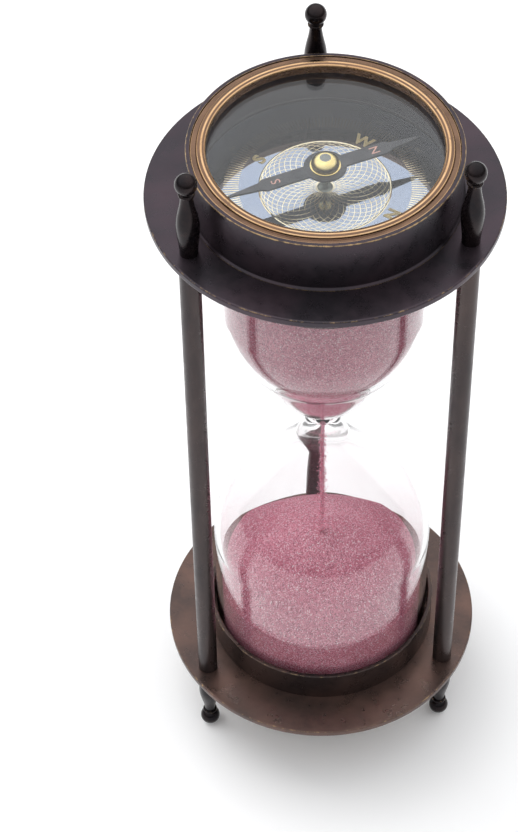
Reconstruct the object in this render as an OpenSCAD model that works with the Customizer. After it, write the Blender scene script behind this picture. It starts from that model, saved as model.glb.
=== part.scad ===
// Brass sand timer with a compass in each end.
// Two round plates on three posts hold a blown glass vessel of sand. Each plate carries
// a shallow drum with a dial, a needle on a pin, a glass and a ring, and three turned
// finials stand on the outer face of each plate. The lower ones are the feet.
// The origin is under the middle of the timer, on the surface that the feet stand on.

/* [Frame] */
// Height from the feet to the tips of the upper finials
total_h = 165; // [150:1:190]
// Radius of both plates
plate_r = 33; // [32:0.5:40]
// Thickness of both plates
plate_t = 1.5; // [1:0.1:3]
// Radius of a post
post_r = 2; // [1.6:0.1:2.5]
// Distance of each post from the middle
post_circle_r = 29; // [28.5:0.25:30]
// Radius of the threaded stud at each end of a post
stud_r = 1.1; // [0.8:0.05:1.2]
// Length of stud that enters a finial
stud_grip = 5; // [3:0.5:6]

/* [Finials] */
// Height of a finial above its plate
finial_h = 18.6; // [16:0.1:22]
// Radius of the ball at the tip
ball_r = 2.05; // [1.8:0.05:2.3]
// Radius of the narrow neck under the ball
finial_neck_r = 1.15; // [0.9:0.05:1.4]
// Radius of the swelling near the plate
finial_belly_r = 2.15; // [1.9:0.05:2.4]
// Radius of the small parting flat on the ball
tip_flat_r = 0.75; // [0.5:0.05:0.9]

/* [Compass drum] */
// Outer radius of the drum
drum_r = 25.1; // [24.9:0.1:25.5]
// Height of the drum above its plate
drum_h = 10.8; // [10.5:0.1:12]
// Wall of the drum
drum_wall = 0.85; // [0.7:0.05:0.9]
// Radius of the solder fillet at the foot of the drum
drum_foot_r = 25.6; // [25.6:0.1:26]
// Thickness of the dial
dial_t = 0.3; // [0.2:0.05:0.4]
// Thickness of the compass glass
lens_t = 1; // [0.8:0.1:1.2]
// Inner radius of the ring that holds the glass down
bezel_inner_r = 21.4; // [21:0.1:22]
// Depth of the top of the glass below the lip of the drum
lens_depth = 1.6; // [1.4:0.05:1.7]
// Height of the ring above the glass
bezel_h = 1.9; // [1.7:0.05:2.1]

/* [Needle] */
// Length from the middle to a tip
needle_l = 19; // [16:0.5:20]
// Width of the wide part
needle_w = 2.9; // [2:0.1:3.2]
// Radius of the round middle of the needle
needle_hub_r = 3.9; // [3.2:0.1:4.2]
// Thickness of the needle
needle_t = 0.4; // [0.3:0.05:0.5]
// Underside of the needle above the plate
needle_z = 5.1; // [4:0.1:5.5]
// Direction of the north tip, from +X
needle_angle = 21; // [0:1:359]
// Radius of the foot of the brass cap
cap_r = 2.8; // [2.4:0.1:3]
// Height of the cap above the needle
cap_h = 2; // [1.8:0.1:2.4]
// Radius of the pin that the needle turns on
pin_r = 0.4; // [0.3:0.05:0.5]
// Radial gap between the pin and the bore of the cap
pin_gap = 0.05; // [0.02:0.01:0.08]

/* [Glass vessel] */
// Largest radius of the lower bulb
lower_bulb_r = 22.6; // [22:0.1:22.7]
// Largest radius of the upper bulb
upper_bulb_r = 20.2; // [20:0.1:22.7]
// Distance from the waist to the widest level of each bulb
bulb_shoulder = 35.5; // [33:0.5:37]
// Height of the waist above the middle of the timer
waist_lift = 0.75; // [0:0.25:2]
// Outer radius of the waist
waist_r = 3.6; // [3:0.1:4.5]
// Radius of the passage through the waist
passage_r = 0.8; // [0.7:0.05:1]
// Wall of the bulbs
glass_wall = 1.1; // [1:0.1:1.4]
// Height of the collars that the glass stands in
collar_h = 7.2; // [6:0.1:9]
// Wall of the collars
collar_wall = 0.9; // [0.7:0.05:1]
// Gap between the glass and a collar
collar_gap = 0.45; // [0.3:0.05:0.5]
// Thickness of the cork pads at the ends of the glass
pad_t = 1; // [0.8:0.1:1.5]

/* [Sand] */
// Height of the peak of the lower heap above its flat foot
heap_h = 25; // [20:0.1:30]
// Slope of the heap and of the crater above, in degrees
heap_slope = 32; // [25:1:34]
// Level of the sand left in the upper bulb, above the waist
upper_level = 47; // [38:0.5:50]
// Radius of the falling thread of sand
stream_r = 0.55; // [0.4:0.05:0.65]

/* [Hidden] */
$fn = 96;
joint_gap = 0.05;      // fitting gap between pieces that are not bonded
sand_gap = 0.08;       // gap between the sand and the glass
mid_z = total_h / 2;
base_z = finial_h;     // underside of the base plate
inner_h = total_h - 2 * (finial_h + plate_t);
post_angles = [90, 210, 330];
drum_in_r = drum_r - drum_wall;
lens_r = drum_in_r - joint_gap;
spacer_in_r = lens_r - 0.9;
dial_r = spacer_in_r - joint_gap;
lens_z = drum_h - lens_depth - lens_t;
hub_r = 1.2;           // stub of the cap that is riveted through the needle
pin_foot_r = 1.5;
pin_foot_h = 0.5;
pin_top = needle_z + needle_t + cap_h * 0.65;
waist_z = mid_z + waist_lift;

// Puts what is built on the plane z = 0 onto the outer face of the top plate.
module on_top() {
    translate([0, 0, total_h - finial_h]) children();
}

// Turns the same piece over, onto the outer face of the base plate.
module on_bottom() {
    translate([0, 0, base_z]) rotate([180, 0, 0]) children();
}

module at_post(i) {
    rotate([0, 0, post_angles[i]]) translate([post_circle_r, 0, 0]) children();
}

module ring(outer_r, inner_r, h) {
    difference() {
        cylinder(r = outer_r, h = h);
        translate([0, 0, -1]) cylinder(r = inner_r, h = h + 2);
    }
}

// ---- frame ----

module plate() {
    difference() {
        rotate_extrude() plate_profile();
        for (i = [0:2]) at_post(i)
            translate([0, 0, -1]) cylinder(r = stud_r + joint_gap, h = plate_t + 2);
    }
}

// Half section of a plate, with its rim eased.
module plate_profile() {
    ease = plate_t / 4;
    polygon([[0, 0], [plate_r - ease, 0], [plate_r, ease], [plate_r, plate_t - ease],
        [plate_r - ease, plate_t], [0, plate_t]]);
}

module base_plate() {
    color("#4b3834") translate([0, 0, base_z]) plate();
}

module top_plate() {
    color("#2d2830") translate([0, 0, base_z + plate_t + inner_h]) plate();
}

module post(i) {
    stud_l = plate_t + stud_grip;
    color("#4a403d") at_post(i) translate([0, 0, base_z + plate_t]) {
        cylinder(r = post_r, h = inner_h);
        translate([0, 0, -stud_l]) cylinder(r = stud_r, h = inner_h + 2 * stud_l);
    }
}

// Centre of the ball, so that the parting flat closes the finial at its full height.
ball_z = finial_h - sqrt(pow(ball_r, 2) - pow(tip_flat_r, 2));
belly_z = finial_h * 0.36;
neck_z = ball_z - ball_r - 0.55;
finial_foot_r = 1.7;

// Radius of the stem at height z: an S curve from foot to belly, and from belly to neck.
function ease_between(a, b, t) = a + (b - a) * (1 - cos(180 * t)) / 2;
function stem_r(z) = z < belly_z
    ? ease_between(finial_foot_r, finial_belly_r, z / belly_z)
    : ease_between(finial_belly_r, finial_neck_r, (z - belly_z) / (neck_z - belly_z));

stem_steps = 18;
stem_points = [for (i = [0:stem_steps])
    let (z = neck_z * i / stem_steps) [stem_r(z), z]];
ring_points = [[finial_neck_r + 0.35, neck_z + 0.1], [finial_neck_r + 0.35, neck_z + 0.35],
    [finial_neck_r, neck_z + 0.45], [finial_neck_r, ball_z]];

module finial() {
    color("#2b2527") difference() {
        union() {
            rotate_extrude($fn = 48)
                polygon(concat([[0, 0]], stem_points, ring_points, [[0, ball_z]]));
            translate([0, 0, ball_z]) sphere(r = ball_r, $fn = 48);
        }
        translate([0, 0, finial_h]) cylinder(r = ball_r, h = ball_r);
        translate([0, 0, -1]) cylinder(r = stud_r + joint_gap, h = stud_grip + 1.3);
    }
}

module top_finial(i) {
    on_top() at_post(i) finial();
}

// The base is turned about X, so the post angles are mirrored to meet the same posts.
module foot(i) {
    on_bottom() rotate([0, 0, -2 * post_angles[i]]) at_post(i) finial();
}

// ---- glass vessel ----

// Half section of one bulb, from the waist up. Each point is [radius, height].
// The dome is part of an ellipse. Below it the lower bulb runs on to the waist in one hollow
// curve, and the upper bulb ends in a shallow cone over a small rounded cup.
dome_h = 20;                  // half height of the ellipse
dome_in = 4;                  // its centre is this far from the axis
turn = 40;                    // where on the ellipse the dome ends, in degrees
dome_steps = 14;
flare_steps = 12;
cup_h = 5.4;                  // height of the cup above the waist
cone_angle = 25;              // slope of the shallow cone, in degrees
funnel_r = 4.5;               // inside this radius the wall thickens towards the passage
end_h = inner_h / 2 - pad_t;  // half height of the vessel, before the waist is lifted

function dome_point(bulb_r, a) = [
    dome_in + (bulb_r - dome_in) * cos(a), bulb_shoulder - dome_h * sin(a)];
function dome(bulb_r) = [for (i = [0:dome_steps])
    dome_point(bulb_r, turn * (1 - i / dome_steps))];

// Slope of the dome where it ends.
function end_slope(bulb_r) = dome_h / ((bulb_r - dome_in) * tan(turn));
function unit(v) = v / norm(v);

function bezier(p, q, s, t) = pow(1 - t, 2) * p + 2 * t * (1 - t) * q + t * t * s;
function bezier4(p, q, s, u, t) = (1 - t) * bezier(p, q, s, t) + t * bezier(q, s, u, t);

function hollow_neck(bulb_r) =
    let (end = dome_point(bulb_r, turn))
    let (corner = [waist_r, end[1] - end_slope(bulb_r) * (end[0] - waist_r)])
    [for (i = [0:flare_steps - 1]) bezier([waist_r, 0], corner, end, i / flare_steps)];
function cup_neck(bulb_r) =
    let (end = dome_point(bulb_r, turn))
    let (rim = [waist_r + 1, cup_h])
    let (low = rim + 5 * [cos(cone_angle), sin(cone_angle)])
    let (high = end - 6 * unit([1, end_slope(bulb_r)]))
    concat([[waist_r, 0]],
        [for (i = [0:4]) bezier([waist_r, 3], [waist_r, cup_h - 0.47], rim, i / 5)],
        [for (i = [0:flare_steps - 1]) bezier4(rim, low, high, end, i / flare_steps)]);

function outer_points(bulb_r, h, cup) = concat(
    cup ? cup_neck(bulb_r) : hollow_neck(bulb_r), dome(bulb_r),
    [[bulb_r, h - 2], [bulb_r - 0.6, h - 0.5], [bulb_r - 2, h]]);

// The outline moved in by the wall, as far down as the funnel over the passage.
function moved(outer, inset) = [for (i = [1:len(outer) - 2])
    let (d = unit(outer[i + 1] - outer[i - 1]))
    let (p = outer[i] + inset * [-d[1], d[0]])
    if (p[0] > funnel_r && p[1] < bulb_shoulder + 0.1) p];
function funnel(first, second, neck_r) =
    let (slope = (second[1] - first[1]) / (second[0] - first[0]))
    let (corner = [neck_r, max(first[1] - slope * (first[0] - neck_r), 0.3)])
    [for (i = [0:flare_steps - 1]) bezier([neck_r, 0], corner, first, i / flare_steps)];
function inner_points(bulb_r, h, inset, neck_r, cup) =
    let (wall = moved(outer_points(bulb_r, h, cup), inset))
    concat(funnel(wall[0], wall[1], neck_r), wall,
        [[bulb_r - inset, h - inset - 1], [bulb_r - inset - 1, h - inset]]);

upper_h = end_h - waist_lift;
lower_h = end_h + waist_lift;

module bulb_solid(points, h) {
    rotate_extrude() polygon(concat([[0, 0]], points, [[0, h]]));
}

module cavity(bulb_r, h, cup) {
    bulb_solid(inner_points(bulb_r, h, glass_wall, passage_r, cup), h - glass_wall);
}

module glass_vessel() {
    color([0.85, 0.92, 0.93, 0.4]) translate([0, 0, waist_z]) difference() {
        union() {
            bulb_solid(outer_points(upper_bulb_r, upper_h, true), upper_h);
            mirror([0, 0, 1]) bulb_solid(outer_points(lower_bulb_r, lower_h, false), lower_h);
        }
        cavity(upper_bulb_r, upper_h, true);
        mirror([0, 0, 1]) cavity(lower_bulb_r, lower_h, false);
    }
}

module collar(bulb_r) {
    inner = bulb_r + collar_gap;
    ring(inner + collar_wall, inner, collar_h);
}

module bottom_collar() {
    color("#3a2f2c") translate([0, 0, base_z + plate_t]) collar(lower_bulb_r);
}

module top_collar() {
    color("#3a2f2c") translate([0, 0, base_z + plate_t + inner_h - collar_h])
        collar(upper_bulb_r);
}

module pad(bulb_r) {
    cylinder(r = bulb_r - 1, h = pad_t);
}

module bottom_pad() {
    color("#a0774a") translate([0, 0, base_z + plate_t]) pad(lower_bulb_r);
}

module top_pad() {
    color("#a0774a") translate([0, 0, base_z + plate_t + inner_h - pad_t]) pad(upper_bulb_r);
}

// ---- sand ----

// The room inside a bulb, kept clear of the glass.
module bulb_room(bulb_r, h, cup) {
    inset = glass_wall + sand_gap;
    bulb_solid(inner_points(bulb_r, h, inset, passage_r - sand_gap, cup), h - inset);
}

lower_floor = lower_h - glass_wall - sand_gap;
heap_top = lower_floor - heap_h;        // distance of the peak below the waist

module sand_lower() {
    cone_r = lower_bulb_r + 4;
    color("#cc7d8c") translate([0, 0, waist_z]) mirror([0, 0, 1]) intersection() {
        bulb_room(lower_bulb_r, lower_h, false);
        translate([0, 0, heap_top]) union() {
            cylinder(r1 = 0.01, r2 = cone_r, h = cone_r * tan(heap_slope));
            translate([0, 0, cone_r * tan(heap_slope)]) cylinder(r = cone_r, h = heap_h);
        }
    }
}

module sand_upper() {
    crater_r = upper_bulb_r - glass_wall - 2;
    crater_h = crater_r * tan(heap_slope);
    color("#cc7d8c") translate([0, 0, waist_z]) difference() {
        intersection() {
            bulb_room(upper_bulb_r, upper_h, true);
            cylinder(r = upper_bulb_r, h = upper_level);
        }
        translate([0, 0, upper_level - crater_h])
            cylinder(r1 = 0, r2 = 2 * crater_r, h = 2 * crater_h);
    }
}

module sand_stream() {
    color("#d98fa0") translate([0, 0, waist_z - heap_top + sand_gap])
        cylinder(r = stream_r, h = heap_top - 2 * sand_gap);
}

// ---- compass: every piece stands on the outer face of its plate ----

module drum() {
    lip = 0.2;
    color("#2c272e") difference() {
        union() {
            cylinder(r = drum_r, h = drum_h - lip);
            translate([0, 0, drum_h - lip]) cylinder(r1 = drum_r, r2 = drum_r - lip, h = lip);
            cylinder(r1 = drum_foot_r, r2 = drum_r, h = 0.6);
        }
        translate([0, 0, -1]) cylinder(r = drum_in_r, h = drum_h + 2);
    }
}

module spacer_ring() {
    color("#6b5a44") ring(lens_r, spacer_in_r, lens_z);
}

module dial() {
    color("#b9bfc4") difference() {
        cylinder(r = dial_r, h = dial_t);
        translate([0, 0, -1]) cylinder(r = pin_r + joint_gap / 2, h = 2);
    }
}

// The foot of the pin stands on the dial, and its shank reaches down to the plate.
module pivot_pin() {
    color("#b8a05a") {
        cylinder(r = pin_r, h = pin_top);
        translate([0, 0, dial_t]) cylinder(r1 = pin_foot_r, r2 = pin_r, h = pin_foot_h);
    }
}

// Outline of the needle: parallel arms to a shoulder, then a taper to each tip.
shoulder_x = 12;
taper_w = needle_w * 0.62;
needle_outline = [[-shoulder_x, needle_w / 2], [shoulder_x, needle_w / 2],
    [shoulder_x + 0.8, taper_w / 2], [needle_l, 0.15],
    [needle_l, -0.15], [shoulder_x + 0.8, -taper_w / 2], [shoulder_x, -needle_w / 2],
    [-shoulder_x, -needle_w / 2], [-shoulder_x - 0.8, -taper_w / 2], [-needle_l, -0.15],
    [-needle_l, 0.15], [-shoulder_x - 0.8, taper_w / 2]];

module needle_plate() {
    color("#4b4b50") rotate([0, 0, needle_angle]) translate([0, 0, needle_z]) difference() {
        union() {
            linear_extrude(needle_t) polygon(needle_outline);
            cylinder(r = needle_hub_r, h = needle_t);
        }
        translate([0, 0, -1]) cylinder(r = hub_r + joint_gap / 2, h = 3);
    }
}

module needle_cap() {
    rim_h = 0.3;
    color("#d9b54a") translate([0, 0, needle_z]) difference() {
        union() {
            cylinder(r = hub_r, h = needle_t + 0.1);
            translate([0, 0, needle_t]) cylinder(r = cap_r, h = rim_h);
            translate([0, 0, needle_t + rim_h])
                cylinder(r1 = cap_r - 0.15, r2 = cap_r / 2, h = cap_h - rim_h);
        }
        translate([0, 0, -1])
            cylinder(r = pin_r + pin_gap, h = 1 + pin_top - needle_z + pin_gap);
    }
}

module lens() {
    color([0.8, 0.9, 0.95, 0.3]) translate([0, 0, lens_z]) cylinder(r = lens_r, h = lens_t);
}

// Flange beside the wall of the drum, and a taller rib with a rounded crest.
module bezel_ring() {
    rib_out = 23.1;
    rib_mid = (bezel_inner_r + rib_out) / 2;
    rib_half = (rib_out - bezel_inner_r) / 2;
    crest_z = bezel_h - rib_half;
    flange_h = lens_depth - 0.2;
    color("#b8946a") translate([0, 0, lens_z + lens_t]) rotate_extrude() {
        translate([bezel_inner_r, 0]) square([lens_r - bezel_inner_r, 0.4]);
        translate([rib_mid, 0]) square([lens_r - rib_mid, flange_h]);
        translate([bezel_inner_r, 0]) square([2 * rib_half, crest_z]);
        translate([rib_mid, crest_z]) circle(r = rib_half, $fn = 40);
    }
}

base_plate();
top_plate();
post(0);  // post_back
post(1);  // post_left
post(2);  // post_right
foot(0);  // foot_back
foot(1);  // foot_left
foot(2);  // foot_right
top_finial(0);  // top_finial_back
top_finial(1);  // top_finial_left
top_finial(2);  // top_finial_right
glass_vessel();
bottom_collar();
top_collar();
bottom_pad();
top_pad();
sand_lower();
sand_stream();
sand_upper();
on_top() drum();  // top_drum
on_top() spacer_ring();  // top_spacer_ring
on_top() dial();  // top_dial
on_top() pivot_pin();  // top_pivot_pin
on_top() needle_plate();  // top_needle
on_top() needle_cap();  // top_needle_cap
on_top() lens();  // top_lens
on_top() bezel_ring();  // top_bezel_ring
on_bottom() drum();  // bottom_drum
on_bottom() spacer_ring();  // bottom_spacer_ring
on_bottom() dial();  // bottom_dial
on_bottom() pivot_pin();  // bottom_pivot_pin
on_bottom() needle_plate();  // bottom_needle
on_bottom() needle_cap();  // bottom_needle_cap
on_bottom() lens();  // bottom_lens
on_bottom() bezel_ring();  // bottom_bezel_ring
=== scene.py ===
import math
import random

import bpy
from mathutils import Matrix, Vector, noise


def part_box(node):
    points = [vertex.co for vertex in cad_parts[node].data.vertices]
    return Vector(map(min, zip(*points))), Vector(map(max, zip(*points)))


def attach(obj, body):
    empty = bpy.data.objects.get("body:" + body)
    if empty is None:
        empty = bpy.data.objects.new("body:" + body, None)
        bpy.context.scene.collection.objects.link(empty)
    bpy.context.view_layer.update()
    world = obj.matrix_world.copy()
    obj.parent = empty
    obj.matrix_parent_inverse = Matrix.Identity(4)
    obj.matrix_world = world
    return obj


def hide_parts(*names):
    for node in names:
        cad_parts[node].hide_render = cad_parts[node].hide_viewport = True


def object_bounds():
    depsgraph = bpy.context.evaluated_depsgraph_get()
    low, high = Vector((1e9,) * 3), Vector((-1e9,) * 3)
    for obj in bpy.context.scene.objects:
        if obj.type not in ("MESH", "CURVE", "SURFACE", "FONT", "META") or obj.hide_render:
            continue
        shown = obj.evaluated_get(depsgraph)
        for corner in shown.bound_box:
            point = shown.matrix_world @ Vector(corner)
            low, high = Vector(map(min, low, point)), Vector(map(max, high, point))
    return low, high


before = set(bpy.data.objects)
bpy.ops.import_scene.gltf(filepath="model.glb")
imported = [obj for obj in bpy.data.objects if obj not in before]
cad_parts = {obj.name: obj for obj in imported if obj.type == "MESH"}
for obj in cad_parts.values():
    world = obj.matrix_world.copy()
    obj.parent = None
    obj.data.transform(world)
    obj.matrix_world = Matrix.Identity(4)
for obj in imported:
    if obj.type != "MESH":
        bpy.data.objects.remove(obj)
cad_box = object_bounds()

MM = 0.001
TOTAL_H = cad_box[1].z


# ---- places read from the frame ----

def low_z(node):
    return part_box(node)[0].z


def high_z(node):
    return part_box(node)[1].z


def radius(node):
    low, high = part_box(node)
    return (high.x - low.x) / 2


TOP_FACE = high_z("top_plate")
BASE_FACE = low_z("base_plate")


# ---- meshes ----

def new_object(name, verts, faces, material, smooth_angle=30):
    mesh = bpy.data.meshes.new(name)
    mesh.from_pydata(verts, [], faces)
    mesh.validate()
    mesh.polygons.foreach_set("use_smooth", [True] * len(mesh.polygons))
    mesh.set_sharp_from_angle(angle=math.radians(smooth_angle))
    mesh.materials.append(material)
    piece = bpy.data.objects.new(name, mesh)
    bpy.context.scene.collection.objects.link(piece)
    return piece


def set_wear(piece, values):
    wear = piece.data.attributes.new("wear", "FLOAT", "POINT")
    wear.data.foreach_set("value", values)


def arc(centre, r, start, end, steps):
    """Points of an arc in the (radius, height) half plane, angles in degrees."""
    points = []
    for i in range(steps + 1):
        a = math.radians(start + (end - start) * i / steps)
        points.append((centre[0] + r * math.cos(a), centre[1] + r * math.sin(a)))
    return points


def rounded(corners, steps=5):
    """A closed outline of (radius, height, fillet) corners with its corners rounded.

    Returns the points, and for each one how exposed it is to rubbing, from 0 to 1.
    A point just outside each fillet keeps the flats beside it truly flat."""
    points, wear = [], []
    area = signed_area(corners)
    beside = 1.08
    for i, (r, z, fillet) in enumerate(corners):
        here = Vector((r, z))
        before = Vector(corners[i - 1][:2]) - here
        after = Vector(corners[(i + 1) % len(corners)][:2]) - here
        if fillet <= 0 or r <= 1e-9:
            points.append(here[:])
            wear.append(0.0)
            continue
        half = before.angle(after) / 2
        reach = min(fillet / math.tan(half), before.length * 0.45, after.length * 0.45)
        start = here + before.normalized() * reach
        end = here + after.normalized() * reach
        convex = (before.x * after.y - before.y * after.x) * area < 0
        points.append((here + before.normalized() * reach * beside)[:])
        wear.append(0.0)
        for k in range(steps + 1):
            t = k / steps
            p = start * (1 - t) ** 2 + here * 2 * t * (1 - t) + end * t * t
            points.append(p[:])
            wear.append(1 - abs(2 * t - 1) ** 2 if convex else 0.0)
        points.append((here + after.normalized() * reach * beside)[:])
        wear.append(0.0)
    return points, wear


def signed_area(outline):
    return sum(outline[i - 1][0] * outline[i][1] - outline[i][0] * outline[i - 1][1]
               for i in range(len(outline)))


def lathe(name, outline, material, wear=None, segments=160, at=(0, 0), smooth_angle=30):
    """Turns a closed outline of (radius, height) points round a vertical axis."""
    wear = wear or [0.0] * len(outline)
    if signed_area(outline) < 0:
        outline, wear = outline[::-1], wear[::-1]
    verts, values, rings = [], [], []
    for (r, z), value in zip(outline, wear):
        on_axis = r < 1e-7
        count = 1 if on_axis else segments
        first = len(verts)
        rings.append([first] * segments if on_axis else list(range(first, first + segments)))
        for i in range(count):
            a = 2 * math.pi * i / segments
            verts.append((at[0] + r * math.cos(a), at[1] + r * math.sin(a), z))
            values.append(value)
    faces = []
    for a, b in zip(rings, rings[1:] + rings[:1]):
        for i in range(segments):
            j = (i + 1) % segments
            face = list(dict.fromkeys((a[i], a[j], b[j], b[i])))
            if len(face) > 2:
                faces.append(face)
    piece = new_object(name, verts, faces, material, smooth_angle)
    set_wear(piece, values)
    return piece


def turned(node, corners, material, slot, body="frame", segments=160, steps=5, rub=1.0):
    """A lathe piece with rounded corners, which stands for a CAD node."""
    outline, wear = rounded(corners, steps)
    piece = lathe(node + "_body", outline, material, [w * rub for w in wear], segments)
    stand_for(piece, node, slot, body)
    return piece


def stand_for(piece, node, slot, body="frame"):
    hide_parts(node)
    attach(piece, body)


def detail(piece, slot, body="frame"):
    """A piece that adds to its neighbours and stands for no CAD node."""
    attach(piece, body)


def ridge(verts, faces, path, width, height, place):
    """Adds a low line with two slopes, which runs along a flat path of (x, y) points.

    place turns (x, y, height) into a point of the piece."""
    first = len(verts)
    count = len(path)
    for i, (x, y) in enumerate(path):
        before, after = path[max(i - 1, 0)], path[min(i + 1, count - 1)]
        along = Vector((after[0] - before[0], after[1] - before[1])).normalized()
        side = Vector((-along.y, along.x)) * width / 2
        verts.append(place(x + side.x, y + side.y, 0))
        verts.append(place(x, y, height))
        verts.append(place(x - side.x, y - side.y, 0))
    for i in range(count - 1):
        a, b = first + 3 * i, first + 3 * i + 3
        faces.append((a, b, b + 1, a + 1))
        faces.append((a + 1, b + 1, b + 2, a + 2))


def circle(r, steps, centre=(0, 0)):
    """A ring of points that ends where it begins."""
    points = []
    for i in range(steps + 1):
        a = 2 * math.pi * i / steps
        points.append((centre[0] + r * math.cos(a), centre[1] + r * math.sin(a)))
    return points


def text_mesh(text, size, outline=0.0, depth=0.0):
    """Vertices and faces of a word, centred on its own middle and lying flat."""
    curve = bpy.data.curves.new("lettering", "FONT")
    curve.body = text
    curve.size = size
    curve.resolution_u = 4
    if outline:
        curve.fill_mode = "NONE"
        curve.bevel_depth = outline
        curve.bevel_resolution = 1
    else:
        curve.extrude = depth
    holder = bpy.data.objects.new("lettering", curve)
    mesh = bpy.data.meshes.new_from_object(holder)
    verts = [v.co.copy() for v in mesh.vertices]
    faces = [tuple(p.vertices) for p in mesh.polygons]
    bpy.data.objects.remove(holder)
    bpy.data.curves.remove(curve)
    bpy.data.meshes.remove(mesh)
    mid_x = (min(v.x for v in verts) + max(v.x for v in verts)) / 2
    mid_y = (min(v.y for v in verts) + max(v.y for v in verts)) / 2
    return [Vector((v.x - mid_x, v.y - mid_y, v.z)) for v in verts], faces


# ---- materials ----

class Nodes:
    """Short names for the shader nodes that the materials are made of."""

    def __init__(self, name):
        self.material = bpy.data.materials.new(name)
        self.material.use_nodes = True
        self.tree = self.material.node_tree
        self.tree.nodes.clear()
        self.out = self.tree.nodes.new("ShaderNodeOutputMaterial")
        self.place = self.add("ShaderNodeTexCoord").outputs["Object"]

    def add(self, kind, **settings):
        node = self.tree.nodes.new(kind)
        for key, value in settings.items():
            setattr(node, key, value)
        return node

    def link(self, source, socket):
        if isinstance(source, (int, float)):
            socket.default_value = source
        elif isinstance(source, tuple):
            socket.default_value = source if len(source) == 4 or len(socket.default_value) == 3 \
                else source + (1,)
        else:
            self.tree.links.new(source, socket)

    def scaled(self, factors):
        node = self.add("ShaderNodeVectorMath", operation="MULTIPLY")
        self.link(self.place, node.inputs[0])
        node.inputs[1].default_value = factors
        return node.outputs[0]

    def noise(self, scale, detail=3, roughness=0.6, place=None, distortion=0.0):
        node = self.add("ShaderNodeTexNoise")
        self.link(place or self.place, node.inputs["Vector"])
        node.inputs["Scale"].default_value = scale
        node.inputs["Detail"].default_value = detail
        node.inputs["Roughness"].default_value = roughness
        node.inputs["Distortion"].default_value = distortion
        return node.outputs["Fac"]

    def cells(self, scale, feature="F1", place=None):
        node = self.add("ShaderNodeTexVoronoi", feature=feature)
        self.link(place or self.place, node.inputs["Vector"])
        node.inputs["Scale"].default_value = scale
        return node

    def span(self, value, low, high, to_low=0.0, to_high=1.0):
        node = self.add("ShaderNodeMapRange")
        self.link(value, node.inputs["Value"])
        node.inputs["From Min"].default_value = low
        node.inputs["From Max"].default_value = high
        node.inputs["To Min"].default_value = to_low
        node.inputs["To Max"].default_value = to_high
        return node.outputs["Result"]

    def math(self, operation, a, b=0.0):
        node = self.add("ShaderNodeMath", operation=operation)
        self.link(a, node.inputs[0])
        self.link(b, node.inputs[1])
        return node.outputs[0]

    def mix(self, factor, a, b):
        node = self.add("ShaderNodeMix", data_type="RGBA")
        self.link(factor, node.inputs["Factor"])
        self.link(a, node.inputs[6])
        self.link(b, node.inputs[7])
        return node.outputs[2]

    def bump(self, height, strength, distance):
        node = self.add("ShaderNodeBump")
        self.link(height, node.inputs["Height"])
        node.inputs["Strength"].default_value = strength
        node.inputs["Distance"].default_value = distance
        return node.outputs["Normal"]

    def wear(self):
        return self.add("ShaderNodeAttribute", attribute_name="wear").outputs["Fac"]

    def surface(self, **inputs):
        shader = self.add("ShaderNodeBsdfPrincipled")
        for key, value in inputs.items():
            self.link(value, shader.inputs[key.replace("_", " ")])
        self.link(shader.outputs[0], self.out.inputs["Surface"])
        return self.material


def aged_brass(name, dark, brown, bright, roughness, cloud=90, streak=(1, 1, 1), specks=0.12):
    """Blackened brass: clouds of brown in the patina, fine pits, and bare metal on edges."""
    n = Nodes(name)
    place = n.scaled(streak)
    clouds = n.noise(cloud, 4, 0.62, place)
    fine = n.noise(cloud * 9, 4, 0.7, place)
    patina = n.mix(n.span(clouds, 0.38, 0.66), dark, brown)
    patina = n.mix(n.span(fine, 0.5, 0.8, 0.0, 0.35), patina, brown)
    pits = n.cells(900).outputs["Distance"]
    dots = n.span(n.noise(1700, 2), 0.76, 0.80)
    patina = n.mix(n.math("MULTIPLY", dots, specks), patina, bright)
    rubbed = n.math("ADD", n.wear(), n.span(fine, 0.35, 0.75, -0.5, 0.2))
    colour = n.mix(n.span(rubbed, 0.35, 0.8), patina, bright)
    rough = n.span(n.noise(cloud * 4, 3), 0.3, 0.7, roughness - 0.06, roughness + 0.08)
    relief = n.math("ADD", n.math("MULTIPLY", fine, 0.7), n.span(pits, 0.0, 0.35, -0.25, 0.0))
    return n.surface(Base_Color=colour, Metallic=0.75, Roughness=rough,
                     Normal=n.bump(relief, 0.2, 0.00004))


def rubbed_copper():
    """Copper-coloured ring: fine turning lines, brown stains, darker where it isn't rubbed."""
    n = Nodes("rubbed_copper")
    ring = n.scaled((1, 1, 6))
    clouds = n.noise(160, 4, 0.65)
    stains = n.span(n.noise(420, 3, 0.7, ring), 0.60, 0.72)
    colour = n.mix(n.span(clouds, 0.35, 0.7), (0.82, 0.54, 0.30), (0.62, 0.37, 0.19))
    colour = n.mix(n.math("MULTIPLY", stains, 0.7), colour, (0.10, 0.055, 0.035))
    tarnish = n.mix(n.span(clouds, 0.35, 0.7), (0.16, 0.10, 0.07), (0.24, 0.145, 0.095))
    colour = n.mix(n.span(n.wear(), 0.1, 0.7), tarnish, colour)
    rough = n.span(n.noise(700, 3, 0.6, ring), 0.3, 0.7, 0.22, 0.36)
    return n.surface(Base_Color=colour, Metallic=1.0, Roughness=rough,
                     Normal=n.bump(n.noise(1800, 3, 0.7, n.scaled((1, 1, 9))), 0.25, 0.00003))


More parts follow.
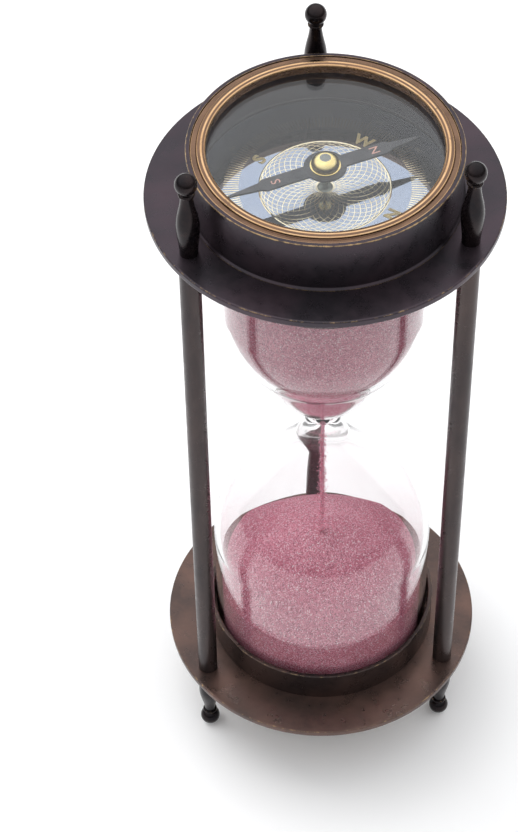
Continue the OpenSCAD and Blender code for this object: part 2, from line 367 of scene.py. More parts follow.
def polished_brass():
    n = Nodes("polished_brass")
    marks = n.noise(2600, 2, 0.5, n.scaled((0.4, 0.4, 3)))
    colour = n.mix(n.span(n.noise(300, 3), 0.35, 0.7), (0.95, 0.80, 0.38), (0.84, 0.63, 0.24))
    colour = n.mix(n.span(n.wear(), 0.3, 0.9), colour, (0.22, 0.23, 0.22))
    return n.surface(Base_Color=colour, Metallic=1.0,
                     Roughness=n.span(marks, 0.3, 0.7, 0.14, 0.26),
                     Normal=n.bump(marks, 0.12, 0.00003))


def dull_pin():
    n = Nodes("dull_pin")
    colour = n.mix(n.span(n.noise(400, 3), 0.35, 0.7), (0.26, 0.29, 0.26), (0.38, 0.40, 0.35))
    return n.surface(Base_Color=colour, Metallic=0.8,
                     Roughness=n.span(n.noise(700, 2), 0.3, 0.7, 0.35, 0.5))


def silvered_dial():
    """A silvered face polished like a mirror, slightly blue, with a faint haze and specks."""
    n = Nodes("silvered_dial")
    haze = n.noise(120, 4, 0.6)
    colour = n.mix(n.span(haze, 0.3, 0.75), (0.30, 0.35, 0.46), (0.35, 0.39, 0.48))
    specks = n.span(n.noise(2600, 2), 0.74, 0.80)
    colour = n.mix(n.math("MULTIPLY", specks, 0.12), colour, (0.16, 0.16, 0.2))
    return n.surface(Base_Color=colour, Metallic=1.0,
                     Roughness=n.span(n.noise(120, 2), 0.3, 0.7, 0.010, 0.020))


def engraved_gold():
    n = Nodes("engraved_gold")
    colour = n.mix(n.span(n.noise(500, 3), 0.35, 0.65), (0.90, 0.82, 0.60), (0.80, 0.68, 0.44))
    return n.surface(Base_Color=colour, Metallic=1.0,
                     Roughness=n.span(n.noise(900, 2), 0.3, 0.7, 0.08, 0.16))


def letter_gilding():
    """Gilt that is dull enough to show on the mirror of the dial."""
    n = Nodes("letter_gilding")
    colour = n.mix(n.span(n.noise(900, 3), 0.35, 0.65), (0.60, 0.48, 0.24), (0.46, 0.36, 0.17))
    return n.surface(Base_Color=colour, Metallic=0.5,
                     Roughness=n.span(n.noise(900, 2), 0.3, 0.7, 0.4, 0.55))


def letter_paint():
    n = Nodes("letter_paint")
    colour = n.mix(n.span(n.noise(900, 3), 0.35, 0.65), (0.78, 0.42, 0.32), (0.60, 0.34, 0.29))
    return n.surface(Base_Color=colour, Metallic=0.2,
                     Roughness=n.span(n.noise(900, 2), 0.3, 0.7, 0.35, 0.5))


def blued_steel():
    n = Nodes("blued_steel")
    grain = n.noise(900, 3, 0.6, n.scaled((0.15, 2, 1)))
    colour = n.mix(n.span(n.noise(200, 3), 0.35, 0.7), (0.050, 0.052, 0.058), (0.085, 0.085, 0.092))
    return n.surface(Base_Color=colour, Metallic=0.8,
                     Roughness=n.span(grain, 0.3, 0.7, 0.3, 0.44),
                     Normal=n.bump(grain, 0.12, 0.00003))


def dark_liner():
    """The dull inside of the compass case, with faint turning lines."""
    n = Nodes("dark_liner")
    lines = n.noise(1500, 3, 0.6, n.scaled((0.2, 0.2, 3)))
    colour = n.mix(n.span(n.noise(150, 4), 0.35, 0.7), (0.035, 0.034, 0.040), (0.06, 0.052, 0.054))
    colour = n.mix(n.span(lines, 0.55, 0.8, 0.0, 0.2), colour, (0.12, 0.11, 0.11))
    colour = n.mix(n.span(n.wear(), 0.3, 0.9), colour, (0.45, 0.44, 0.42))
    return n.surface(Base_Color=colour, Metallic=0.6,
                     Roughness=n.span(n.noise(600, 3), 0.3, 0.7, 0.45, 0.6))


def cork():
    n = Nodes("cork")
    granule = n.cells(700)
    tone = n.add("ShaderNodeSeparateColor")
    n.link(granule.outputs["Color"], tone.inputs[0])
    colour = n.mix(tone.outputs[0], (0.42, 0.26, 0.13), (0.62, 0.43, 0.26))
    edges = n.span(granule.outputs["Distance"], 0.25, 0.6)
    colour = n.mix(n.math("MULTIPLY", edges, 0.6), colour, (0.16, 0.09, 0.05))
    return n.surface(Base_Color=colour, Roughness=n.span(n.noise(900, 3), 0.3, 0.7, 0.7, 0.9),
                     Normal=n.bump(edges, 0.5, 0.00012))


def pink_sand(name, painted_light_gain):
    """Dyed sand: most grains are rose, some dark red, and a few are white and glitter.

    The second argument makes all but the glitter lighter; above 1 it is painted light, a lighter copy
    that stands in for light on the falling thread."""
    n = Nodes(name)

    def tint(*colour):
        return tuple(min(c * painted_light_gain, 0.95) for c in colour)

    grain = n.cells(6400)
    tone = n.add("ShaderNodeSeparateColor")
    n.link(grain.outputs["Color"], tone.inputs[0])
    drift = n.noise(110, 4, 0.6)
    rose = n.mix(n.span(drift, 0.36, 0.66), tint(0.56, 0.16, 0.23), tint(0.68, 0.24, 0.32))
    colour = n.mix(n.span(tone.outputs[0], 0.08, 0.45), tint(0.26, 0.05, 0.09), rose)
    colour = n.mix(n.span(tone.outputs[1], 0.78, 0.97), colour, tint(0.84, 0.50, 0.60))
    glitter = n.span(tone.outputs[2], 0.955, 0.97)
    colour = n.mix(glitter, colour, (0.92, 0.80, 0.84))
    relief = n.span(grain.outputs["Distance"], 0.0, 0.7, 1.0, 0.0)
    rough = n.math("SUBTRACT", 0.7, n.math("MULTIPLY", glitter, 0.45))
    return n.surface(Base_Color=colour, Roughness=rough, Normal=n.bump(relief, 0.55, 0.0001))


def clear_glass(name, tint, waves=0.0):
    """Glass that bends what is seen through it, and lets the lamps' light through."""
    n = Nodes(name)
    glass = n.add("ShaderNodeBsdfPrincipled")
    glass.inputs["Transmission Weight"].default_value = 1.0
    glass.inputs["IOR"].default_value = 1.47
    clouds = n.noise(60, 3, 0.6)
    n.link(n.mix(n.span(clouds, 0.3, 0.7), tint, (0.99, 0.995, 0.995)), glass.inputs["Base Color"])
    glass.inputs["Roughness"].default_value = 0.0
    if waves:
        n.link(n.bump(n.noise(55, 1, 0.4), 0.3, waves), glass.inputs["Normal"])
    clear = n.add("ShaderNodeBsdfTransparent")
    clear.inputs["Color"].default_value = (0.96, 0.965, 0.965, 1)
    path = n.add("ShaderNodeLightPath")
    mixed = n.add("ShaderNodeMixShader")
    n.link(path.outputs["Is Shadow Ray"], mixed.inputs[0])
    n.link(glass.outputs[0], mixed.inputs[1])
    n.link(clear.outputs[0], mixed.inputs[2])
    n.link(mixed.outputs[0], n.out.inputs["Surface"])
    return n.material


def pale_floor():
    """A near-white sweep that gives off a little light of its own, so shadows stay soft."""
    n = Nodes("pale_floor")
    colour = n.mix(n.span(n.noise(6, 2), 0.3, 0.7), (0.93, 0.93, 0.935), (0.95, 0.95, 0.95))
    return n.surface(Base_Color=colour, Roughness=0.8, Emission_Color=(1.0, 1.0, 1.0),
                     Emission_Strength=0.07)


DARK = (0.046, 0.040, 0.048)
PURPLE = (0.072, 0.052, 0.064)
BROWN = (0.165, 0.100, 0.082)
BRASS = (0.50, 0.34, 0.17)

dark_brass = aged_brass("dark_brass", DARK, PURPLE, BRASS, 0.3)
brown_brass = aged_brass("brown_brass", (0.085, 0.060, 0.054), BROWN, BRASS, 0.3)
collar_brass = aged_brass("collar_brass", (0.040, 0.030, 0.030), (0.085, 0.058, 0.052), BRASS, 0.3)
post_brass = aged_brass("post_brass", (0.042, 0.034, 0.035), (0.082, 0.060, 0.056),
                        (0.30, 0.21, 0.13), 0.3, streak=(1, 1, 0.25), specks=0.05)
finial_brass = aged_brass("finial_brass", (0.012, 0.010, 0.012), (0.03, 0.02, 0.02),
                          BRASS, 0.22, cloud=220)
copper = rubbed_copper()
bright_brass = polished_brass()
pin_metal = dull_pin()
silver = silvered_dial()
gold_line = engraved_gold()
letter_gilt = letter_gilding()
letter_pink = letter_paint()
steel = blued_steel()
liner = dark_liner()
cork_pad = cork()
sand = pink_sand("pink_sand", 1.0)
# The thread's sand is a lighter copy of the heap's: painted light, because its thin core shades too
# dark.
painted_light_stream_sand = pink_sand("painted_light_stream_sand", 1.55)
vessel_glass = clear_glass("vessel_glass", (0.965, 0.95, 0.955), 0.00006)
lens_glass = clear_glass("lens_glass", (0.97, 0.985, 0.985))


# ---- frame of the timer ----

# How much of the bare metal shows on exposed edges.
PLATE_RUB = 0.62


def make_plate(node, material, slot):
    r, low, high = radius(node), low_z(node), high_z(node)
    ease = 0.38 * MM
    corners = [(0, low, 0), (r, low, ease), (r, high, ease), (0, high, 0)]
    turned(node, corners, material, slot, segments=256, rub=PLATE_RUB)


make_plate("top_plate", dark_brass, "dark_brass")
make_plate("base_plate", brown_brass, "brown_brass")

SIDES = ("back", "left", "right")


def middle_of(node):
    low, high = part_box(node)
    return (low.x + high.x) / 2, (low.y + high.y) / 2


def make_post(side):
    node = "post_" + side
    r, bottom, top = radius(node), high_z("base_plate"), low_z("top_plate")
    ease = 0.15 * MM
    outline, wear = rounded([(0, bottom, 0), (r, bottom, ease), (r, top, ease), (0, top, 0)])
    piece = lathe(node + "_body", outline, post_brass, wear, 64, middle_of(node))
    stand_for(piece, node, "post_brass")


for side in SIDES:
    make_post(side)


def finial_outline(base, direction, height):
    """Stem with a belly and a thin neck, a small ring, and a ball with a tiny flat."""
    ball_r, neck_r, belly_r, foot_r, flat_r = (x * MM for x in (2.05, 1.15, 2.15, 1.7, 0.75))
    ball_mid = height - math.sqrt(ball_r ** 2 - flat_r ** 2)
    neck = ball_mid - ball_r - 0.55 * MM
    belly = height * 0.36

    def ease(a, b, t):
        return a + (b - a) * (1 - math.cos(math.pi * t)) / 2

    points, wear = [(0, 0)], [0.0]
    steps = 40
    for i in range(steps + 1):
        z = neck * i / steps
        r = ease(foot_r, belly_r, z / belly) if z < belly \
            else ease(belly_r, neck_r, (z - belly) / (neck - belly))
        points.append((r, z))
        wear.append(0.25 if abs(z - belly) < 1.2 * MM else 0.0)
    ring = arc((neck_r, neck + 0.3 * MM), 0.35 * MM, -60, 80, 8)
    points += ring
    wear += [0.45] * len(ring)
    start = -math.degrees(math.acos(neck_r * 0.9 / ball_r))
    end = math.degrees(math.acos(flat_r / ball_r))
    ball = arc((0, ball_mid), ball_r, start, end, 26)
    points += ball
    wear += [0.25 if p[1] > ball_mid + ball_r * 0.6 else 0.05 for p in ball]
    points.append((0, height))
    wear.append(0.45)
    return [(r, base + direction * z) for r, z in points], wear


def make_finial(node, base, direction):
    height = high_z(node) - low_z(node)
    outline, wear = finial_outline(base, direction, height)
    piece = lathe(node + "_body", outline, finial_brass, wear, 56, middle_of(node), 40)
    stand_for(piece, node, "finial_brass")


for side in SIDES:
    make_finial("top_finial_" + side, TOP_FACE, 1)
    make_finial("foot_" + side, BASE_FACE, -1)


# ---- glass vessel and sand ----

WAIST_R, PASSAGE_R = 3.6 * MM, 0.8 * MM
GLASS_WALL, SAND_GAP = 1.1 * MM, 0.08 * MM
# Inside this radius the wall thickens towards the passage.
FUNNEL_R = 4.5 * MM
WAIST_LIFT = 0.75 * MM
WAIST_Z = (low_z("glass_vessel") + high_z("glass_vessel")) / 2 + WAIST_LIFT


def bezier(points, t):
    """A point of a Bezier curve of any number of control points."""
    while len(points) > 1:
        points = [tuple(a + (b - a) * t for a, b in zip(p, q))
                  for p, q in zip(points, points[1:])]
    return points[0]


class Bulb:
    """Half section of one bulb. The dome is part of an ellipse, and a curve runs on from it
    down to the waist. Heights count away from the waist, up or down."""

    shoulder, dome_h, dome_in = 35.5 * MM, 20 * MM, 4 * MM
    turn = math.radians(40)
    cup_foot, cup_bend, cup_h, cup_out = 3 * MM, 4.93 * MM, 5.4 * MM, 1 * MM
    cone_angle = math.radians(25)
    cone_pull, dome_pull = 5 * MM, 6 * MM
    steps, cup_steps = 36, 10

    def __init__(self, r, end, direction, cup):
        self.r, self.direction = r, direction
        self.height = abs(end - WAIST_Z)
        self.cup = cup

    def dome_point(self, a):
        return (self.dome_in + (self.r - self.dome_in) * math.cos(a),
                self.shoulder - self.dome_h * math.sin(a))

    def curve(self, points, steps):
        """Points of a Bezier curve, without its last one."""
        return [bezier(points, i / steps) for i in range(steps)]

    def neck(self):
        """From the waist to the dome: hollow all the way, or with a rounded cup above it."""
        end = self.dome_point(self.turn)
        slope = self.dome_h / ((self.r - self.dome_in) * math.tan(self.turn))
        if not self.cup:
            corner = (WAIST_R, end[1] - slope * (end[0] - WAIST_R))
            return self.curve([(WAIST_R, 0), corner, end], self.steps)
        rim = (WAIST_R + self.cup_out, self.cup_h)
        fillet = [(WAIST_R, self.cup_foot), (WAIST_R, self.cup_bend), rim]
        cone = Vector((math.cos(self.cone_angle), math.sin(self.cone_angle)))
        low = Vector(rim) + cone * self.cone_pull
        high = Vector(end) - Vector((1, slope)).normalized() * self.dome_pull
        return ([(WAIST_R, 0)] + self.curve(fillet, self.cup_steps)
                + self.curve([rim, low[:], high[:], end], self.steps))

    def outside(self):
        """Outer points from the waist to the axis at the closed end."""
        points = self.neck()
        points += [self.dome_point(self.turn * (1 - i / self.steps)) for i in range(self.steps + 1)]
        round_r = 2 * MM
        points += arc((self.r - round_r, self.height - round_r), round_r, 0, 90, 10)
        return points + [(0, self.height)]

    def inside(self, wall, neck_r):
        """The same outline moved in by the wall, with a funnel at the waist."""
        outer = self.outside()
        moved = []
        for before, here, after in zip(outer, outer[1:], outer[2:]):
            along = Vector((after[0] - before[0], after[1] - before[1])).normalized()
            r, h = here[0] - along.y * wall, here[1] + along.x * wall
            if r > FUNNEL_R and h < self.shoulder + 0.1 * MM:
                moved.append((r, h))
        (r0, h0), (r1, h1) = moved[0], moved[2]
        lowest = 0.3 * MM
        corner = (neck_r, max(h0 - (h1 - h0) / (r1 - r0) * (r0 - neck_r), lowest))
        funnel = self.curve([(neck_r, 0), corner, (r0, h0)], self.steps)
        round_r, top = 1 * MM, self.height - wall
        return (funnel + moved + arc((self.r - wall - round_r, top - round_r), round_r, 0, 90, 10)
                + [(0, top)])

    def placed(self, points):
        return [(r, WAIST_Z + self.direction * h) for r, h in points]

    def glass_outside(self):
        return self.placed(self.outside())

    def glass_inside(self):
        return self.placed(self.inside(GLASS_WALL, PASSAGE_R))

    def room(self):
        """The outline that sand can fill, just clear of the glass."""
        return self.inside(GLASS_WALL + SAND_GAP, PASSAGE_R - SAND_GAP)

    def wall_at(self, height):
        """Radius of the room at a height, below its widest level."""
        points = self.room()
        for (r0, h0), (r1, h1) in zip(points, points[1:]):
            if h0 <= height <= h1:
                return r0 + (r1 - r0) * (height - h0) / max(h1 - h0, 1e-9)
        return points[0][0]


lower_bulb = Bulb(radius("glass_vessel"), low_z("glass_vessel"), -1, cup=False)
# The pad is this much smaller than the end of the bulb that rests on it.
PAD_INSET = 1 * MM
upper_bulb = Bulb(radius("top_pad") + PAD_INSET, high_z("glass_vessel"), 1, cup=True)

shell = (lower_bulb.glass_outside()[::-1] + upper_bulb.glass_outside()[1:]
         + upper_bulb.glass_inside()[::-1] + lower_bulb.glass_inside()[1:])
vessel = lathe("glass_vessel_body", shell, vessel_glass, segments=256)
stand_for(vessel, "glass_vessel", "vessel_glass")


def use_material(node, material):
    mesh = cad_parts[node].data
    mesh.materials.clear()
    mesh.materials.append(material)


for node in ("bottom_pad", "top_pad"):
    use_material(node, cork_pad)


def roughen(piece, amount, level, seed):
    """Moves the points of a sand surface a little up or down, as far as level allows."""
    shift = Vector((seed, seed * 2, 0))
    broad, fine = 260, 900
    for v in piece.data.vertices:
        lumps = noise.noise(v.co * broad + shift) + 0.5 * noise.noise(v.co * fine + shift)
        v.co.z += amount * lumps * level(v.co)


HEAP_SLOPE = math.radians(32)


def make_lower_sand():
    """The heap: a cone of loose grains that leans on the glass all round."""
    peak = abs(high_z("sand_lower") - WAIST_Z)
    room = lower_bulb.room()
    edge = next(p for p in room if p[1] > peak + p[0] * math.tan(HEAP_SLOPE))
    edge_h = edge[1]
    rest = [p for p in room if p[1] > edge_h]
    blunt, blunt_top = 3 * MM, 2.85 * MM
    slope = []
    steps = 70
    for i in range(steps + 1):
        r = edge[0] * i / steps
        slope.append((r, peak + math.tan(HEAP_SLOPE) * (math.hypot(r, blunt) - blunt_top)))
    slope[-1] = (edge[0], max(slope[-1][1], slope[-2][1]))
    outline = lower_bulb.placed(slope + rest)
    piece = lathe("sand_lower_body", outline, sand, segments=192)

    calm, skin = 1.5 * MM, 0.5 * MM

    def level(co):
        """0 beside the glass and below the surface, 1 on the open surface."""
        if WAIST_Z - co.z >= edge_h + skin:
            return 0.0
        return min(1.0, max(0.0, (edge[0] - math.hypot(co.x, co.y)) / calm))

    roughen(piece, 0.28 * MM, level, 3.0)
    # The heap has slid a little lower on the glass at the back.
    sunk, start, reach = 2.8 * MM, 16 * MM, 8 * MM
    for v in piece.data.vertices:
        back = min(1.0, max(0.0, (v.co.y - start) / (edge[0] - start)))
        below = min(1.0, max(0.0, (WAIST_Z - v.co.z - edge_h) / reach))
        v.co.z -= sunk * back * (1 - below)
    stand_for(piece, "sand_lower", "sand")


def make_upper_sand():
    """What is left above: it has sunk to a crater over the passage."""
    room = upper_bulb.room()
    throat = low_z("sand_upper") - WAIST_Z
    top = high_z("sand_upper") - WAIST_Z
    wall = [p for p in room if throat < p[1] < top]
    wall = [(upper_bulb.wall_at(throat), throat)] + wall
    edge = wall[-1][0]
    crater = []
    steps, crater_slope = 60, 0.96 * math.tan(HEAP_SLOPE)
    for i in range(1, steps + 1):
        r = edge * (1 - i / steps)
        crater.append((r, top - crater_slope * (edge - r)))
    outline = upper_bulb.placed([(0, throat)] + wall + [(edge, top)] + crater)
    piece = lathe("sand_upper_body", outline, sand, segments=192)
    stand_for(piece, "sand_upper", "sand")


def make_stream():
    """The falling thread: an uneven core with loose grains round it. It ends in the heap."""
    low, high = low_z("sand_stream") - 0.5 * MM, high_z("sand_stream")
    core_r, uneven, sway = 0.28 * MM, 0.16 * MM, 0.12 * MM
    steps, sides = 260, 10
    verts, faces = [], []
    for k in range(steps + 1):
        z = low + (high - low) * k / steps
        drift = Vector((noise.noise((0, 3, z * 300)), noise.noise((7, 0, z * 300)), 0)) * sway
        for i in range(sides):
            a = 2 * math.pi * i / sides
            r = core_r + uneven * noise.noise((math.cos(a), math.sin(a), z * 2200))
            verts.append((drift.x + r * math.cos(a), drift.y + r * math.sin(a), z))
    for k in range(steps):
        for i in range(sides):
            j = (i + 1) % sides
            a, b = k * sides, (k + 1) * sides
            faces.append((a + i, a + j, b + j, b + i))
    faces.append(tuple(range(sides))[::-1])
    faces.append(tuple(steps * sides + i for i in range(sides)))
    draw = random.Random(11)
    waist_foot = WAIST_Z - 4 * MM
    grains = 2600
    for _ in range(grains):
        z = draw.uniform(low, waist_foot)
        spread = 0.34 + 0.16 * (waist_foot - z) / (waist_foot - low)
        a, r = draw.uniform(0, 2 * math.pi), abs(draw.gauss(0, spread)) * MM
        add_grain(verts, faces, (r * math.cos(a), r * math.sin(a), z),
                  draw.uniform(0.08, 0.16) * MM, draw)
    # The thread uses the lighter copy of the sand, which is painted light.
    piece = new_object("sand_stream_body", verts, faces, painted_light_stream_sand, 60)
    stand_for(piece, "sand_stream", "sand")


def add_grain(verts, faces, place, r, draw):
    """A small stone with eight faces, turned at random."""
    first = len(verts)
    turn = Matrix.Rotation(draw.uniform(0, 6.28), 3, Vector((draw.random(), draw.random(), 1)))
    for axis in ((1, 0, 0), (0, 1, 0), (-1, 0, 0), (0, -1, 0), (0, 0, 1), (0, 0, -1)):
        verts.append(Vector(place) + turn @ Vector(axis) * r)
    for i in range(4):
        a, b = first + i, first + (i + 1) % 4
        faces.append((a, b, first + 4))
        faces.append((b, a, first + 5))


make_lower_sand()
make_upper_sand()
make_stream()


def make_collar(node, slot):
    r, low, high = radius(node), low_z(node), high_z(node)
    inner = r - 0.9 * MM
    lip, soft = 0.25 * MM, 0.05 * MM
    standing = node == "bottom_collar"
    bottom, top = (soft, lip) if standing else (lip, soft)
    corners = [(inner, low, bottom), (r, low, bottom), (r, high, top), (inner, high, top)]
    turned(node, corners, collar_brass, slot, segments=192, rub=PLATE_RUB)


make_collar("bottom_collar", "brown_brass")
make_collar("top_collar", "brown_brass")


# ---- the two compasses ----

# Radii of what is engraved on the dial, in millimetres.
ROSETTE_R = 12.0
TICK_FROM, TICK_TO = 15.7, 18.5
LETTER_R = 14.0
DIGIT_R = 19.7
# Radius at which the letters on the needle are painted.
PAINT_R = 9.8
# Direction of the letter N on the dial; the others follow at quarter turns.
NORTH = math.radians(-34)


class Compass:
    """Makes one compass on a plate. Heights count outward from the plate's face."""

    def __init__(self, side, face, direction):
        self.side, self.face, self.direction = side, face, direction

    def node(self, name):
        return f"{self.side}_{name}"

    def span(self, name):
        """Inner and outer height of a node above the plate's face."""
        ends = [(z - self.face) * self.direction
                for z in (low_z(self.node(name)), high_z(self.node(name)))]
        return min(ends), max(ends)

    def z(self, height):
        return self.face + self.direction * height

    def place(self, x, y, height):
        """A point over the plate. The lower compass is the upper one turned about X."""
        return (x, y * self.direction, self.z(height))

    def turn(self, name, corners, material, slot, body="frame", segments=192, steps=5, rub=1.0):
        placed = [(r, self.z(h), fillet) for r, h, fillet in corners]
        return turned(self.node(name), placed, material, slot, body, segments, steps, rub)

    def make(self):
        self.drum()
        self.bezel()
        self.lens()
        self.spacer()
        self.dial()
        self.engraving()
        self.lettering()
        self.pin()
        self.needle()
        self.cap()

    def drum(self):
        foot_r = radius(self.node("drum"))
        r = foot_r - 0.5 * MM
        inner = r - 0.85 * MM
        h = self.span("drum")[1]
        self.turn("drum", [(inner, 0, 0), (foot_r, 0, 0.1 * MM), (r, 0.55 * MM, 0.3 * MM),
                           (r, h, 0.28 * MM), (inner, h, 0.12 * MM)],
                  dark_brass, "dark_brass", segments=256)

    def bezel(self):
        """A flange beside the wall of the drum, and a taller rib with a rounded crest."""
        low, high = self.span("bezel_ring")
        outer = radius(self.node("bezel_ring"))
        inner, rib = 21.4 * MM, 23.1 * MM
        flange = high - 0.5 * MM
        soft = 0.05 * MM
        self.turn("bezel_ring",
                  [(inner, low, soft), (outer, low, soft), (outer, flange, 0.15 * MM),
                   (rib + 0.12 * MM, flange - 0.05 * MM, 0.15 * MM),
                   (rib - 0.02 * MM, high - 0.12 * MM, 0.4 * MM),
                   ((inner + rib) / 2, high, 1.2 * MM), (inner, high - 0.2 * MM, 0.55 * MM)],
                  copper, "bezel_copper", segments=256, steps=8)

    def lens(self):
        low, high = self.span("lens")
        r = radius(self.node("lens"))
        chamfer = 0.12 * MM
        self.turn("lens", [(0, low, 0), (r, low, chamfer), (r, high, chamfer), (0, high, 0)],
                  lens_glass, "lens_glass", steps=3)

    def spacer(self):
        low, high = self.span("spacer_ring")
        r = radius(self.node("spacer_ring"))
        inner = r - 0.9 * MM
        foot = self.span("dial")[1]
        self.turn("spacer_ring", [(inner, low, 0), (r, low, 0), (r, high, 0.05 * MM),
                                  (inner, high, 0.25 * MM), (inner, foot + 0.5 * MM, 0.1 * MM),
                                  (inner + 0.12 * MM, foot + 0.35 * MM, 0)],
                  liner, "liner_brass")

    def dial(self):
        low, high = self.span("dial")
        r = radius(self.node("dial"))
        bore = 0.45 * MM
        self.turn("dial", [(bore, low, 0), (r, low, 0.02 * MM), (r, high, 0.1 * MM),
                           (bore, high, 0)],
                  silver, "dial_silver")

    def engraving(self):
        """A rosette of circles that all pass through the middle, a ring, and degree ticks."""
        face = self.span("dial")[1] - 0.002 * MM
        verts, faces = [], []

        def place(x, y, h):
            return self.place(x, y, face + h)

        def line(path, width, height):
            scaled = [(x * MM, y * MM) for x, y in path]
            ridge(verts, faces, scaled, width * MM, height * MM, place)

        petals = 36
        for i in range(petals):
            a = 2 * math.pi * i / petals
            r = ROSETTE_R / 2
            line(circle(r, 96, (r * math.cos(a), r * math.sin(a))), 0.15, 0.014)
        line(circle(ROSETTE_R, 256), 0.34, 0.07)
        ticks = 180
        for i in range(ticks):
            a = 2 * math.pi * i / ticks
            end = TICK_TO + (0.7 if i % 15 == 0 else 0)
            line([(r * math.cos(a), r * math.sin(a)) for r in (TICK_FROM, end)], 0.26, 0.016)
        piece = new_object(self.node("dial_engraving"), verts, faces, gold_line)
        detail(piece, "dial_silver")

    def write(self, shape, text, size, r, angle, height, outline=0.0, depth=0.02 * MM):
        """Adds a word to shape, at a radius and an angle, with its foot towards the middle."""
        verts, faces = shape
        points, sides = text_mesh(text, size * MM, outline * MM, depth)
        first = len(verts)
        turn = Matrix.Rotation(angle - math.pi / 2, 3, "Z")
        for p in points:
            q = turn @ (p + Vector((0, r * MM, 0)))
            verts.append(self.place(q.x, q.y, height + p.z))
        faces.extend([tuple(first + i for i in side) for side in sides])

    def lettering(self):
        """Compass letters in gilt outline, and small figures outside the ticks."""
        face = self.span("dial")[1]
        letters, figures = ([], []), ([], [])
        for i, letter in enumerate("NWSE"):
            self.write(letters, letter, 3.4, LETTER_R, NORTH + i * math.pi / 2, face, 0.15)
        count = 12
        for i in range(count):
            angle = NORTH - 2 * math.pi * i / count
            self.write(figures, str(i * 30), 0.95, DIGIT_R, angle, face)
        for name, shape, material in (("dial_letters", letters, letter_gilt),
                                      ("dial_figures", figures, gold_line)):
            detail(new_object(self.node(name), *shape, material), "dial_silver")

    def pin(self):
        low, high = self.span("pivot_pin")
        r = 0.4 * MM
        foot = self.span("dial")[1]
        self.turn("pivot_pin", [(0, low, 0), (r, low, 0), (r, foot, 0), (1.5 * MM, foot, 0.05 * MM),
                                (1.1 * MM, foot + 0.3 * MM, 0.2 * MM), (r, foot + 0.6 * MM, 0.3 * MM),
                                (r, high - 0.3 * MM, 0.1 * MM), (0, high, 0)],
                  pin_metal, "bright_brass", segments=48)

    def needle(self):
        """The CAD needle in blued steel, with a painted letter near each tip."""
        use_material(self.node("needle"), steel)
        low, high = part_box(self.node("needle"))
        north = math.atan2(high.y - low.y, high.x - low.x)
        top = self.span("needle")[1]
        letters = ([], [])
        for text, angle in (("N", north), ("S", north + math.pi)):
            self.write(letters, text, 2.5, PAINT_R, angle, top, depth=0.015 * MM)
        piece = new_object(self.node("needle_letters"), *letters, letter_pink)
        detail(piece, "needle_steel", self.side + "_needle")

    def cap(self):
        """A round button on a thin flange, with a small flat top that has gone grey."""
        low, high = self.span("needle_cap")
        steel_top = self.span("needle")[1]
        rim = radius(self.node("needle_cap"))
        bore, stub = 0.45 * MM, 1.2 * MM
        top_r = 1.05 * MM
        button_r, button_foot = rim - 0.22 * MM, steel_top + 0.5 * MM
        points = [(bore, low), (stub, low), (stub, steel_top), (rim, steel_top),
                  (rim, steel_top + 0.22 * MM), (button_r - 0.15 * MM, steel_top + 0.3 * MM)]
        button = []
        steps = 24
        for i in range(steps + 1):
            a = math.pi / 2 * i / steps
            button.append((top_r + (button_r - top_r) * math.cos(a),
                           button_foot + (high - button_foot) * math.sin(a)))
        flat = [(top_r * 0.96, high), (0, high), (0, high - 0.7 * MM), (bore, high - 0.7 * MM)]
        outline = points + button + flat
        wear = [0.0] * (len(points) + len(button)) + [1.0] * len(flat)
        piece = lathe(self.node("needle_cap_body"), [(r, self.z(h)) for r, h in outline],
                      bright_brass, wear, 96)
        stand_for(piece, self.node("needle_cap"), "bright_brass", self.side + "_needle")


Compass("top", TOP_FACE, 1).make()
Compass("bottom", BASE_FACE, -1).make()


# ---- floor, light and camera ----

floor_material = pale_floor()
floor = new_object("floor", [(-3, -3, 0), (3, -3, 0), (3, 3, 0), (-3, 3, 0)], [(0, 1, 2, 3)],
                   floor_material)


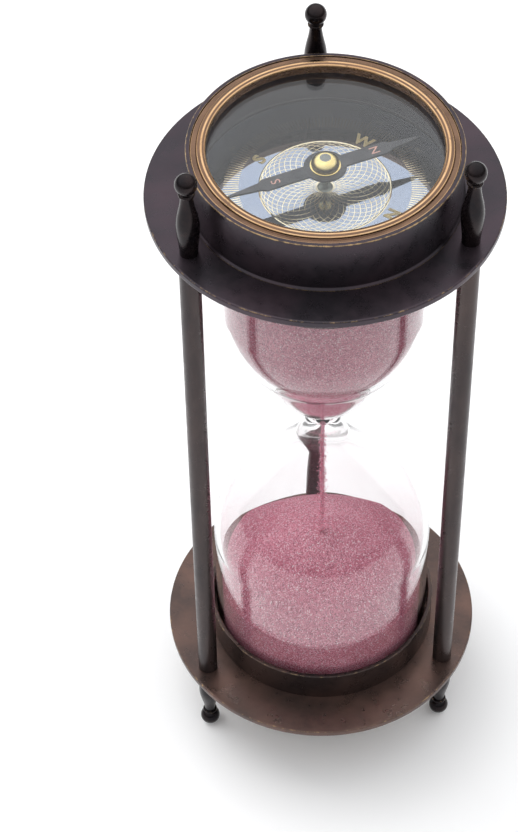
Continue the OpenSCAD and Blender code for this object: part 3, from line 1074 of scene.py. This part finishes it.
def studio_world():
    """Bright above and behind the timer, dimmer in front, to the right and near the floor."""
    world = bpy.data.worlds.new("studio")
    bpy.context.scene.world = world
    world.use_nodes = True
    tree = world.node_tree
    background = tree.nodes["Background"]

    def ramp(source, low, high, to_low, to_high):
        node = tree.nodes.new("ShaderNodeMapRange")
        node.interpolation_type = "SMOOTHSTEP"
        tree.links.new(source, node.inputs["Value"])
        for name, value in (("From Min", low), ("From Max", high),
                            ("To Min", to_low), ("To Max", to_high)):
            node.inputs[name].default_value = value
        return node.outputs["Result"]

    def times(a, b):
        node = tree.nodes.new("ShaderNodeMath")
        node.operation = "MULTIPLY"
        tree.links.new(a, node.inputs[0])
        tree.links.new(b, node.inputs[1])
        return node.outputs[0]

    place = tree.nodes.new("ShaderNodeTexCoord").outputs["Generated"]
    axes = tree.nodes.new("ShaderNodeSeparateXYZ")
    tree.links.new(place, axes.inputs[0])
    x, y, z = axes.outputs
    height = ramp(z, 0.1, 0.62, 0.18, 1.42)
    depth = ramp(y, -0.9, 0.1, 0.55, 1.0)
    width = ramp(x, -0.1, 0.8, 1.0, 0.84)
    tree.links.new(times(times(height, depth), width), background.inputs["Strength"])
    background.inputs["Color"].default_value = (0.985, 0.99, 1.0, 1)


studio_world()


def softbox(name, place, target, size, power):
    """A lamp for the shading only: glass and metal mirror the room, not the lamp."""
    light = bpy.data.lights.new(name, "AREA")
    light.shape = "RECTANGLE"
    light.size, light.size_y = size
    light.energy = power
    lamp = bpy.data.objects.new(name, light)
    bpy.context.scene.collection.objects.link(lamp)
    lamp.location = place
    lamp.rotation_mode = "QUATERNION"
    lamp.rotation_quaternion = (Vector(target) - Vector(place)).to_track_quat("-Z", "Y")
    lamp.visible_glossy = False
    lamp.visible_transmission = False


MIDDLE = (0, 0, TOTAL_H / 2)
softbox("key_light", (-0.35, 0.35, 0.85), MIDDLE, (0.7, 0.7), 3.2)

camera_data = bpy.data.cameras.new("camera")
camera = bpy.data.objects.new("camera", camera_data)
bpy.context.scene.collection.objects.link(camera)
bpy.context.scene.camera = camera

LENS_MM, SHIFT_X, SHIFT_Y = 111.8, -0.0126, -0.0086
PITCH, YAW, ROLL = math.radians(49.018), math.radians(2.2), math.radians(-0.79)
# Where the camera stands, from a point over the middle of the timer.
CAMERA_FROM, CAMERA_LIFT = Vector((-0.01063, -0.33734, 0)), 0.3918


def place_camera():
    """The camera looks down at the timer from just left of the front."""
    turn = Matrix.Rotation(-YAW, 3, "Z")
    camera.location = turn @ CAMERA_FROM + Vector((0, 0, TOTAL_H / 2 + CAMERA_LIFT))
    forward = turn @ Vector((0, math.cos(PITCH), -math.sin(PITCH)))
    right = turn @ Vector((1, 0, 0))
    up = right.cross(forward)
    right, up = (right * math.cos(ROLL) + up * math.sin(ROLL),
                 up * math.cos(ROLL) - right * math.sin(ROLL))
    camera.rotation_mode = "QUATERNION"
    camera.rotation_quaternion = Matrix((right, up, -forward)).transposed().to_quaternion()
    camera_data.lens = LENS_MM
    camera_data.sensor_width = 36
    camera_data.shift_x = SHIFT_X
    camera_data.shift_y = SHIFT_Y
    camera_data.clip_start = 0.01


place_camera()
bpy.context.scene.view_settings.view_transform = "Standard"
